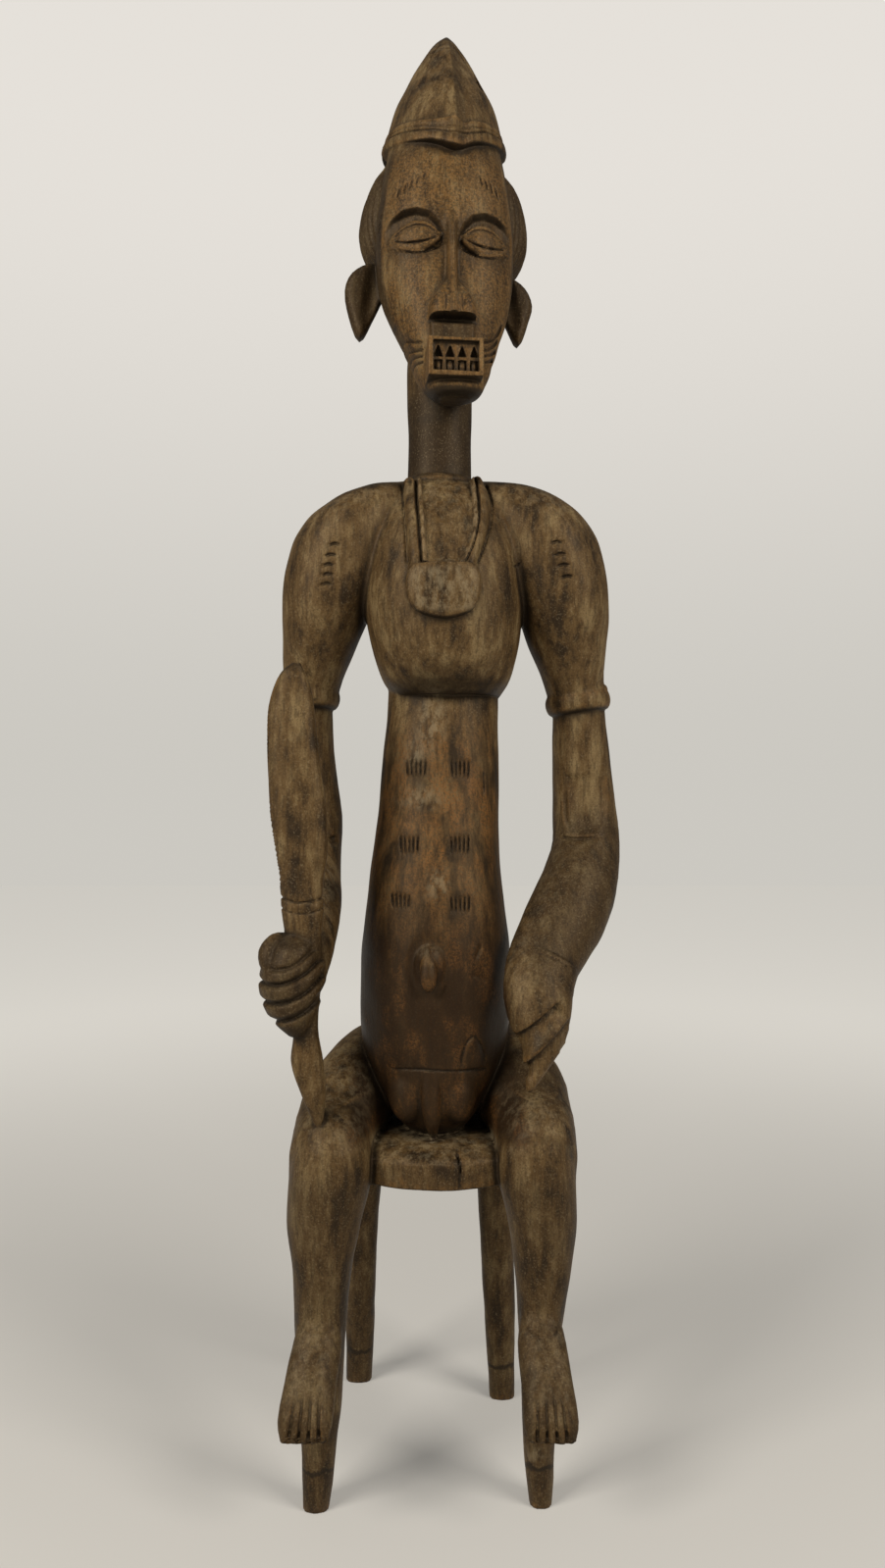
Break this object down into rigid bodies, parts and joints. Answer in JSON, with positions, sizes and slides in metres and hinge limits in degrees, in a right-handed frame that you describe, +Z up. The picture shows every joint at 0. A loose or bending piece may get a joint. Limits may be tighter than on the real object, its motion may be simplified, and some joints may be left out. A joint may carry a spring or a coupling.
{
  "type": "seated figure carving",
  "caption": "Carved wooden seated figure on a legged stool, with a pointed hat, armbands, a necklace plaque and an upright blade in the fist. Stands on the floor as an ornament.",
  "frame": {"origin": "on the floor, under the middle of the bounding box", "axes": "+Z is up, the figure faces -Y and +X is the viewer's right"},
  "size_m": [0.3157, 0.2973, 1.3],
  "materials": {
    "wood": "dark olive-brown hardwood with a worn semi-gloss patina, warmer on the belly and darker in the recesses"
  },
  "bodies": {
    "root": {"figure": "wood"}
  },
  "joints": []
}
